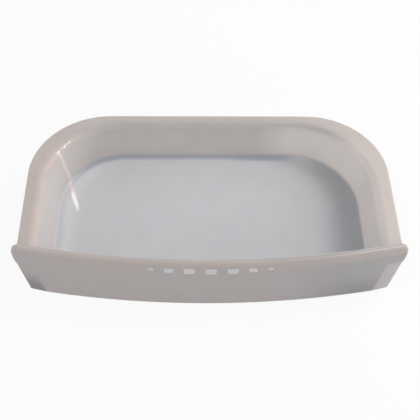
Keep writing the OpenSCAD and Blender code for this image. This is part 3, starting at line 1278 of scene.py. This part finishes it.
            shape.solid([[Vector((side.value * x, y, z)) for x, z in loop] for y in ends])
        return shape.object("underside")

    def build(self, finish: bpy.types.Material) -> None:
        """Builds and dresses the tray.

        Args:
            finish: its material.
        """
        tray = self.shell()
        combine(tray, self.sill(), Change.JOIN)
        combine(tray, self.underside(), Change.JOIN)
        combine(tray, self.front_cut(), Change.CUT)
        smooth(tray)
        finish_piece(tray, finish, "tray_plastic", "tray")


@dataclass(frozen=True)
class FrontPanel:
    """The bowed panel with its rolled lip, bevelled ends, vents and lugs."""

    sizes: PanSizes = SIZES
    bevel_foot_w: float = 16 * MM
    bevel_top_w: float = 16 * MM
    bevel_drop: float = 20 * MM
    bevel_setback: float = 1.2 * MM
    vents_per_side: int = 3
    vent_w: float = 11.5 * MM
    vent_h: float = 7.6 * MM
    vent_gap: float = 10.7 * MM
    vent_drop: float = 6.3 * MM
    vent_w_step: float = math.radians(21)
    vent_h_step: float = math.radians(19)
    vent_land: float = 0.7 * MM
    vent_flare: float = 3.6 * MM
    vent_ramp: float = 2.2 * MM
    vent_spread: float = 0.6 * MM
    vent_corner_r: float = 0.5 * MM
    lug_corner_r: float = 2 * MM
    screw_hole_r: float = 1.8 * MM
    bevel_fade: float = 4 * MM
    crease_limit: float = 1.3
    crease_lap: float = 0.6 * MM
    nose_r: float = 2.6 * MM
    nose_drop: float = 13 * MM
    nose_fade: float = 8 * MM
    nose_low: float = 0.08
    nose_gain: float = 0.38
    nose_front: float = 0.7
    pocket_nose_r: float = 0.1 * MM
    ease_w: float = 0.5 * MM
    ease_angle: float = 40.0
    ease_steps: int = 2
    columns: int = 80

    def heights(self, low: float, high: float, fine: bool) -> list[float]:
        """Heights of the rows from the foot up, closer at the bevels' tops and where the top corners turn.

        Args:
            low: the lowest row.
            high: the highest row.
            fine: whether the top corners are turned.

        Returns:
            The heights.
        """
        s = self.sizes
        top = s.panel_z1 - self.bevel_drop
        fade = [top + self.bevel_fade * t for t in spread(-1.0, 1.0, 8)]
        rows = [*spread(low, fade[0], 6)[:-1], *fade]
        if not fine:
            return [*rows, *spread(fade[-1], high, 3)[1:]]
        turn = s.panel_z1 - s.corner_r * (1 + math.sin(s.end_slant))
        rows += spread(fade[-1], turn, 3)[1:]
        return rows + [s.panel_z1 - s.corner_r + s.corner_r * math.sin(a)
                       for a in spread(-s.end_slant, math.pi / 2, 14)[1:]]

    def crease_x(self, z: float) -> float:
        """Finds a bevel's crease.

        Args:
            z: the height.

        Returns:
            Its distance from the middle.
        """
        s = self.sizes
        share = (z - s.panel_z0) / (s.panel_z1 - self.bevel_drop - s.panel_z0)
        wider = (self.bevel_top_w - self.bevel_foot_w) * min(max(share, 0.0), self.crease_limit)
        return s.end_x(z) - (self.bevel_foot_w + wider)

    def bevel_depth(self, x: float, z: float) -> float:
        """How far a bevel sets the front back. It fades out softly at its top.

        Args:
            x: the place along X.
            z: the height.

        Returns:
            The distance.
        """
        s = self.sizes
        top = s.panel_z1 - self.bevel_drop
        fade = min(max((top + self.bevel_fade - z) / (2 * self.bevel_fade), 0.0), 1.0)
        fade = fade * fade * (3 - 2 * fade)
        return max(0.0, abs(x) - self.crease_x(z)) * self.bevel_setback / self.bevel_foot_w * fade

    def front_at(self, z: float) -> float:
        """The front with its rolled lip.

        Args:
            z: the height.

        Returns:
            Its radius about the bow's axis.
        """
        s = self.sizes
        centre_z = s.panel_z1 - s.lip_r
        centre_r = s.front_r(centre_z) - s.lip_r / math.cos(s.panel_lean)
        if z < centre_z + s.lip_r * math.sin(s.panel_lean):
            return s.front_r(z)
        rise = min(z - centre_z, s.lip_r)
        return centre_r + math.sqrt(max(0.0, s.lip_r ** 2 - rise ** 2))

    def stations(self, z: float, inset: float) -> list[Point2]:
        """The columns from one end to the other, at height z.

        Args:
            z: the height.
            inset: how far the ends are moved in.

        Returns:
            The (x, rounding) points. The rounding runs from 0 to 1 over each end's round edge.
        """
        s = self.sizes
        end = s.end_x(z) - inset / math.cos(s.end_slant)
        crease = self.crease_x(z)
        nose = self.pocket_nose_r if inset else self.nose_r
        half = [(x, 0.0) for x in spread(0.0, crease - self.crease_lap, self.columns)]
        half += [(x, 0.0) for x in spread(crease, end - nose, 6)]
        half += [(end - nose + nose * math.sin(a), 1 - math.cos(a)) for a in spread(0.0, math.pi / 2, 7)[1:]]
        return [(-x, r) for x, r in half[:0:-1]] + half

    def nose_share(self, z: float) -> float:
        """How round the ends' edges are: full at the top corners, and crisp below them.

        Args:
            z: the height.

        Returns:
            The rounding, as a share of the panel's thickness.
        """
        share = min(max((z - self.sizes.panel_z1 + self.nose_drop) / self.nose_fade, 0.0), 1.0)
        return self.nose_low + self.nose_gain * share * share * (3 - 2 * share)

    def block(self, inset: float) -> bpy.types.Object:
        """The panel as a solid block with bevelled ends, or the pocket in its back.

        Args:
            inset: 0 for the block, or the wall's thickness round the pocket.

        Returns:
            The object.
        """
        s = self.sizes
        skew = inset / math.cos(s.panel_lean)
        high = s.panel_z1 - s.lip_h if inset else s.panel_z1
        rows = self.heights(s.panel_z0 + inset, high, not inset)
        columns = [self.stations(z, inset) for z in rows]
        loops = []
        for i in range(len(columns[0])):
            front_row, back_row = [], []
            for z, column in zip(rows, columns):
                x, rounding = column[i]
                front = s.bow_y(x, s.front_r(z) - skew if inset else self.front_at(z))
                front += self.bevel_depth(x, z)
                back = s.bow_y(x, s.front_r(z) - s.panel_edge_t - (OVER if inset else 0.0))
                pull = 0.0 if inset else rounding * self.nose_share(z) * (back - front)
                front_row.append(Vector((x, front + self.nose_front * pull, z)))
                back_row.append(Vector((x, back - pull, z)))
            loops.append(front_row + back_row[::-1])
        shape = Shape()
        rings = shape.sweep(loops)
        count = len(rows)
        for ring in (rings[0], rings[-1]):
            for i in range(count - 1):
                shape.mesh.faces.new((ring[i], ring[i + 1], ring[2 * count - 2 - i], ring[2 * count - 1 - i]))
        return shape.object("pocket" if inset else "front_panel")

    def vents(self) -> bpy.types.Object:
        """Builds the solids that cut the row of vents.

        Returns:
            The solids.
        """
        s = self.sizes
        shape = Shape()
        x, r, top = 0.0, self.vent_corner_r, s.panel_z1 - self.vent_drop
        axis = Vector((0, s.axis_y, 0))
        sizes = [(self.vent_w * math.cos(self.vent_w_step * i), self.vent_h * math.cos(self.vent_h_step * i))
                 for i in range(self.vents_per_side + 1)]
        for i, (width, height) in enumerate(sizes):
            if i:
                x += (sizes[i - 1][0] + width) / 2 + self.vent_gap
            turn = math.asin(x / (s.bow_r - s.panel_kick))
            land = s.front_r(top - height) - self.vent_land
            ramp = land - self.vent_ramp
            for side in (Side if i else (Side.RIGHT,)):
                spin = Matrix.Rotation(side.value * turn, 3, "Z")
                loops = []
                for radius, open_out in ((s.bow_r + OVER, False), (land, False), (ramp, True),
                                         (ramp - s.panel_edge_t - OVER, True)):
                    half = width / 2 + self.vent_spread * open_out - r
                    foot = top - height - self.vent_flare * open_out + r
                    corners = ((half, top - r, 0.0), (-half, top - r, math.pi / 2),
                               (-half, foot, math.pi), (half, foot, -math.pi / 2))
                    loops.append([axis + spin @ Vector((u, -radius, z)) for cx, cz, a in corners
                                  for u, z in arc((cx, cz), r, a, a + math.pi / 2, 3)])
                shape.solid(loops)
        return shape.object("vents")

    def lugs(self) -> bpy.types.Object:
        """Builds the two lugs that reach back under the rim.

        Returns:
            The lugs.
        """
        s = self.sizes
        shape = Shape()
        root = s.bow_y(s.screw_x + s.lug_w / 2, s.front_r(s.lug_z)) + s.panel_skin_t / 2
        end = s.screw_y(Row.REAR) + s.lug_w / 2
        r = self.lug_corner_r
        near, far = s.screw_x - s.lug_w / 2, s.screw_x + s.lug_w / 2
        for side in Side:
            outline = [(near, root), (far, root), *arc((far - r, end - r), r, 0, math.pi / 2, 5),
                       *arc((near + r, end - r), r, math.pi / 2, math.pi, 5)]
            shape.solid([[Vector((side.value * x, y, z)) for x, y in outline]
                         for z in (s.lug_z, s.lug_z + s.lug_t)])
        return shape.object("lugs")

    def screw_holes(self) -> bpy.types.Object:
        """Builds the solids that cut the holes in the lugs.

        Returns:
            The solids.
        """
        s = self.sizes
        shape = Shape()
        for side in Side:
            for row in Row:
                shape.lathe([(0, s.lug_z - OVER), (self.screw_hole_r, s.lug_z - OVER),
                             (self.screw_hole_r, s.lug_z + s.lug_t + OVER), (0, s.lug_z + s.lug_t + OVER)],
                            Vector((side.value * s.screw_x, s.screw_y(row), 0)), 32)
        return shape.object("screw_holes")

    def build(self, finish: bpy.types.Material) -> None:
        """Builds and dresses the panel.

        Args:
            finish: its material.
        """
        panel = self.block(0.0)
        combine(panel, self.block(self.sizes.panel_skin_t), Change.CUT)
        ease_edges(panel, self.ease_w, self.ease_angle, self.ease_steps)
        combine(panel, self.lugs(), Change.JOIN)
        combine(panel, self.screw_holes(), Change.CUT)
        combine(panel, self.vents(), Change.CUT)
        smooth(panel)
        finish_piece(panel, finish, "panel_plastic", "front_panel")


@dataclass(frozen=True)
class PanHeadScrew:
    """A pan-head screw, head down, with a domed head, a cross recess and a thread."""

    side: Side
    row: Row
    sizes: PanSizes = SIZES
    head_r: float = 3.2 * MM
    head_h: float = 2.2 * MM
    dome_round: float = 0.8
    dome_side: float = 0.35
    shank_r: float = 1.5 * MM
    length: float = 7.5 * MM
    pitch: float = 1.1 * MM
    thread_start: float = 0.4 * MM
    thread_w: float = 0.77 * MM
    thread_room: float = 1.43 * MM
    tip_h: float = 1.1 * MM
    brim: float = 0.15 * MM
    root_share: float = 0.72
    tip_share: float = 0.2
    cross_share: float = 0.62
    cross_w: float = 0.9 * MM
    cross_depth: float = 1.2 * MM
    cross_taper: float = 0.45

    def build(self, finish: bpy.types.Material) -> None:
        """Builds and dresses the screw.

        Args:
            finish: its material.
        """
        s = self.sizes
        name = f"{self.side.name.lower()}_{self.row.name.lower()}_screw"
        centre = Vector((self.side.value * s.screw_x, s.screw_y(self.row), s.lug_z))
        side, crown = self.dome_side, 1 - self.dome_side
        dome = [(self.head_r * math.sin(a) ** self.dome_round, -self.head_h * (side + crown * math.cos(a)))
                for a in spread(0.0, math.pi / 2, 10)]
        root = self.shank_r * self.root_share
        profile = [*dome, (self.head_r, -self.brim), (self.head_r - self.brim, 0.0), (root, 0.0)]
        z = self.thread_start
        while z < self.length - self.thread_room:
            profile += [(root, z), (self.shank_r, z + self.thread_w / 2), (root, z + self.thread_w)]
            z += self.pitch
        profile += [(root, self.length - self.tip_h), (self.shank_r * self.tip_share, self.length),
                    (0, self.length)]
        shape = Shape()
        shape.lathe(profile, centre, 40)
        screw = shape.object(name)
        arm, width = self.head_r * self.cross_share, self.cross_w / 2
        for along in (Vector((1, 0, 0)), Vector((0, 1, 0))):
            across = Vector((along.y, along.x, 0))
            cross = Shape()
            loops = []
            for z, k in ((-self.head_h - OVER, 1.0), (-self.head_h, 1.0),
                         (self.cross_depth - self.head_h, self.cross_taper)):
                loops.append([centre + along * a * k + across * b + Vector((0, 0, z))
                              for a, b in ((arm, width), (-arm, width), (-arm, -width), (arm, -width))])
            cross.solid(loops)
            combine(screw, cross.object("cross"), Change.CUT)
        smooth(screw, 40)
        finish_piece(screw, finish, "screw_steel", name)


@dataclass(frozen=True)
class SoftFoot:
    """A soft round foot with a moulded grip ring on its underside."""

    row: Row
    side: Side
    radius: float = 11 * MM
    stem_r: float = 3 * MM
    stem_l: float = 4 * MM
    edge_r: float = 1.2 * MM
    crown_r: float = 0.5 * MM
    groove_depth: float = 0.5 * MM
    groove_w: float = 1.2 * MM
    groove_side: float = 0.35 * MM
    groove_radii: tuple[float, ...] = (4.6 * MM, 6.8 * MM)
    dimple_r: float = 3.1 * MM
    dimple_side: float = 0.5 * MM
    sizes: PanSizes = SIZES
    tray: Tray = Tray()

    def build(self, finish: bpy.types.Material) -> None:
        """Builds and dresses the foot.

        Args:
            finish: its material.
        """
        s = self.sizes
        name = f"{self.row.name.lower()}_{self.side.name.lower()}_foot"
        y = s.front_y + self.tray.foot_front_y if self.row is Row.FRONT else s.back_y - self.tray.foot_back_y
        deep = self.groove_depth
        grooves = [(0.0, deep), (self.dimple_r - self.dimple_side, deep), (self.dimple_r, 0.0)]
        for r in self.groove_radii:
            far = r + self.groove_w
            grooves += [(r, 0.0), (r + self.groove_side, deep), (far - self.groove_side, deep), (far, 0.0)]
        rim = arc((self.radius - self.edge_r, self.edge_r), self.edge_r, -math.pi / 2, 0.0, 6)
        top = s.foot_h
        crown = arc((self.radius - self.crown_r, top - self.crown_r), self.crown_r, 0.0, math.pi / 2, 4)
        stem = [(self.stem_r, top), (self.stem_r, top + self.stem_l), (0.0, top + self.stem_l)]
        shape = Shape()
        shape.lathe([*grooves, *rim, *crown, *stem], Vector((self.side.value * self.tray.foot_x, y, 0)), 64)
        foot = shape.object(name)
        smooth(foot, 40)
        finish_piece(foot, finish, "foot_rubber", name)


# ---------------------------------------------------------------- studio


@dataclass(frozen=True)
class Studio:
    """The floor, the lamps, the world and the camera."""

    dome: float = 0.30
    shade_share: float = 0.12
    floor_half_w: float = 6.0
    floor_tones: tuple[Colour, Colour] = ((0.84, 0.84, 0.84), (0.86, 0.86, 0.86))
    lamp_distance: float = 1.6
    lamp_w: float = 0.5
    lamp_aim: Point3 = (0.0, 0.0, 0.03)
    low_place: Point3 = (0.44, -0.06, 0.06)
    low_aim: Point3 = (0.19, -0.085, 0.03)
    low_size: Point2 = (0.10, 0.06)
    low_power: float = 0.18
    gloss_aim: Point3 = (-0.152, 0.030, 0.011)
    gloss_lamps: tuple[tuple[str, Point3, Point3, float, float], ...] = (
        ("strip", (-0.404, 0.992, 1.165), (-0.357, 0.875, 1.213), 0.007, 0.045),
        ("glint", (0.75, 0.38, 1.19), (0.60, 0.05, 1.34), 0.12, 9.0))
    target: Point3 = (-0.275 * MM, -27.668 * MM, 54.472 * MM)
    distance: float = 807.426 * MM
    elevation: float = math.radians(54.124)
    yaw: float = math.radians(2.439)
    roll: float = math.radians(1.941)
    lens: float = 66.857
    soft_lamps: tuple[tuple[str, float, float, float], ...] = (
        ("right_back_high", 30, 40, 6.9), ("right_back", 30, 20, 6.6), ("left_high", 180, 65, 6.4),
        ("right_front", 330, 20, 4.0), ("left", 180, 20, 3.2), ("front", 270, 20, 3.2), ("back", 60, 20, 2.4))

    def bright_rays(self, ray: Node) -> Wire:
        """1 for the rays that see the studio as white, from a Light Path node."""
        seen = ray.out("Is Camera Ray").at_least(ray.out("Is Glossy Ray"))
        return seen.at_least(ray.out("Is Transmission Ray"))

    def floor(self) -> None:
        """A pale floor that shows white, with the pan's soft shadow."""
        shape = Shape()
        half = self.floor_half_w
        corners = ((-half, -half), (half, -half), (half, half), (-half, half))
        shape.cap([shape.mesh.verts.new((x, y, 0)) for x, y in corners])
        floor = shape.object("studio_floor")
        made, g = material("studio_floor")
        ray = g.add("ShaderNodeLightPath", {}, {})
        seen = self.bright_rays(ray) * (1 - self.shade_share)
        grain = g.noise(g.place(), 0.4, 2.0)
        base = g.add("ShaderNodeBsdfDiffuse", {}, {"Color": g.blend(grain, *self.floor_tones)})
        white = g.add("ShaderNodeEmission", {}, {"Color": (1, 1, 1, 1), "Strength": 1.0})
        mixed = g.add("ShaderNodeMixShader", {}, {0: seen, 1: base.out(), 2: white.out()})
        g.add("ShaderNodeOutputMaterial", {}, {"Surface": mixed.out()})
        floor.data.materials.append(made)

    def world(self) -> None:
        """An even pale dome that the camera and reflections see as white."""
        made = bpy.data.worlds.new("studio")
        bpy.context.scene.world = made
        made.use_nodes = True
        g = Graph(made.node_tree)
        ray = g.add("ShaderNodeLightPath", {}, {})
        strength = self.dome + self.bright_rays(ray) * (1 - self.dome)
        shade = g.add("ShaderNodeBackground", {}, {"Color": (1, 1, 1, 1), "Strength": strength})
        g.add("ShaderNodeOutputWorld", {}, {"Surface": shade.out()})

    def lamp(self, name: str, place: Vector, aim: Point3, size: Point2, power: float,
             along: Vector = Vector((0, 0, 1))) -> bpy.types.Object:
        """Adds a rectangular lamp.

        Args:
            name: its name.
            place: where it stands.
            aim: the point that it faces.
            size: its width and height.
            power: its power in watts.
            along: the direction that its height follows.

        Returns:
            The lamp.
        """
        data = bpy.data.lights.new(name, "AREA")
        data.shape, data.size, data.size_y = "RECTANGLE", *size
        data.energy = power
        lamp = bpy.data.objects.new(name, data)
        bpy.context.scene.collection.objects.link(lamp)
        away = (place - Vector(aim)).normalized()
        across = along.cross(away).normalized()
        turned = Matrix((across, away.cross(across), away)).transposed().to_4x4()
        lamp.matrix_world = Matrix.Translation(place) @ turned
        lamp.visible_camera = False
        return lamp

    def soft_lamp(self, name: str, bearing: float, height: float, power: float) -> None:
        """Adds a broad lamp that leaves no mark in the gloss.

        Args:
            name: its name.
            bearing: its bearing from the right towards the back, in degrees.
            height: its height above the floor, in degrees.
            power: its power in watts.
        """
        turn, rise = math.radians(bearing), math.radians(height)
        way = Vector((math.cos(rise) * math.cos(turn), math.cos(rise) * math.sin(turn), math.sin(rise)))
        size = (self.lamp_w, self.lamp_w)
        self.lamp(name, way * self.lamp_distance, self.lamp_aim, size, power).visible_glossy = False

    def lamps(self) -> None:
        """Broad lamps, mostly from the right and the back, and slim ones that show in the gloss."""
        for name, bearing, height, power in self.soft_lamps:
            self.soft_lamp(name, bearing, height, power)
        low = self.lamp("low_right", Vector(self.low_place), self.low_aim, self.low_size, self.low_power)
        low.visible_glossy = False
        for name, start, end, width, power in self.gloss_lamps:
            self.gloss_lamp(name, Vector(start), Vector(end), width, power)

    def gloss_lamp(self, name: str, start: Vector, end: Vector, width: float, power: float) -> None:
        """Adds a slim lamp that shows only in the gloss of the pan's left back corner.

        Args:
            name: its name.
            start: its lower end.
            end: its upper end.
            width: its width.
            power: its power in watts.
        """
        along = end - start
        made = self.lamp(name, (start + end) / 2, self.gloss_aim, (width, along.length), power, along)
        made.visible_diffuse = False

    def camera(self) -> None:
        """The camera, high in front of the pan."""
        turn, rise = self.yaw, self.elevation
        back = Vector((-math.sin(turn) * math.cos(rise), -math.cos(turn) * math.cos(rise), math.sin(rise)))
        level = (-back).cross(Vector((0, 0, 1))).normalized()
        steep = level.cross(-back)
        right = level * math.cos(self.roll) + steep * math.sin(self.roll)
        up = steep * math.cos(self.roll) - level * math.sin(self.roll)
        data = bpy.data.cameras.new("camera")
        data.sensor_width, data.lens = 36.0, self.lens
        data.clip_start, data.clip_end = 0.01, 50.0
        camera = bpy.data.objects.new("camera", data)
        bpy.context.scene.collection.objects.link(camera)
        frame = Matrix((right, up, back)).transposed().to_4x4()
        camera.matrix_world = Matrix.Translation(Vector(self.target) + back * self.distance) @ frame
        bpy.context.scene.camera = camera

    def build(self) -> None:
        """Sets up the studio."""
        bpy.context.scene.view_settings.view_transform = "Standard"
        self.camera()
        self.floor()
        self.world()
        self.lamps()


def main() -> None:
    """Builds the pan in order."""
    logging.basicConfig(level=logging.INFO, format="%(name)s: %(message)s")
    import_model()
    Studio().build()
    Tray().build(TrayPlastic().build())
    FrontPanel().build(PanelPlastic().build())
    steel = ScrewSteel().build()
    rubber = FootRubber().build()
    for side in Side:
        for row in Row:
            PanHeadScrew(side, row).build(steel)
            SoftFoot(row, side).build(rubber)


if __name__ == "__main__":
    main()
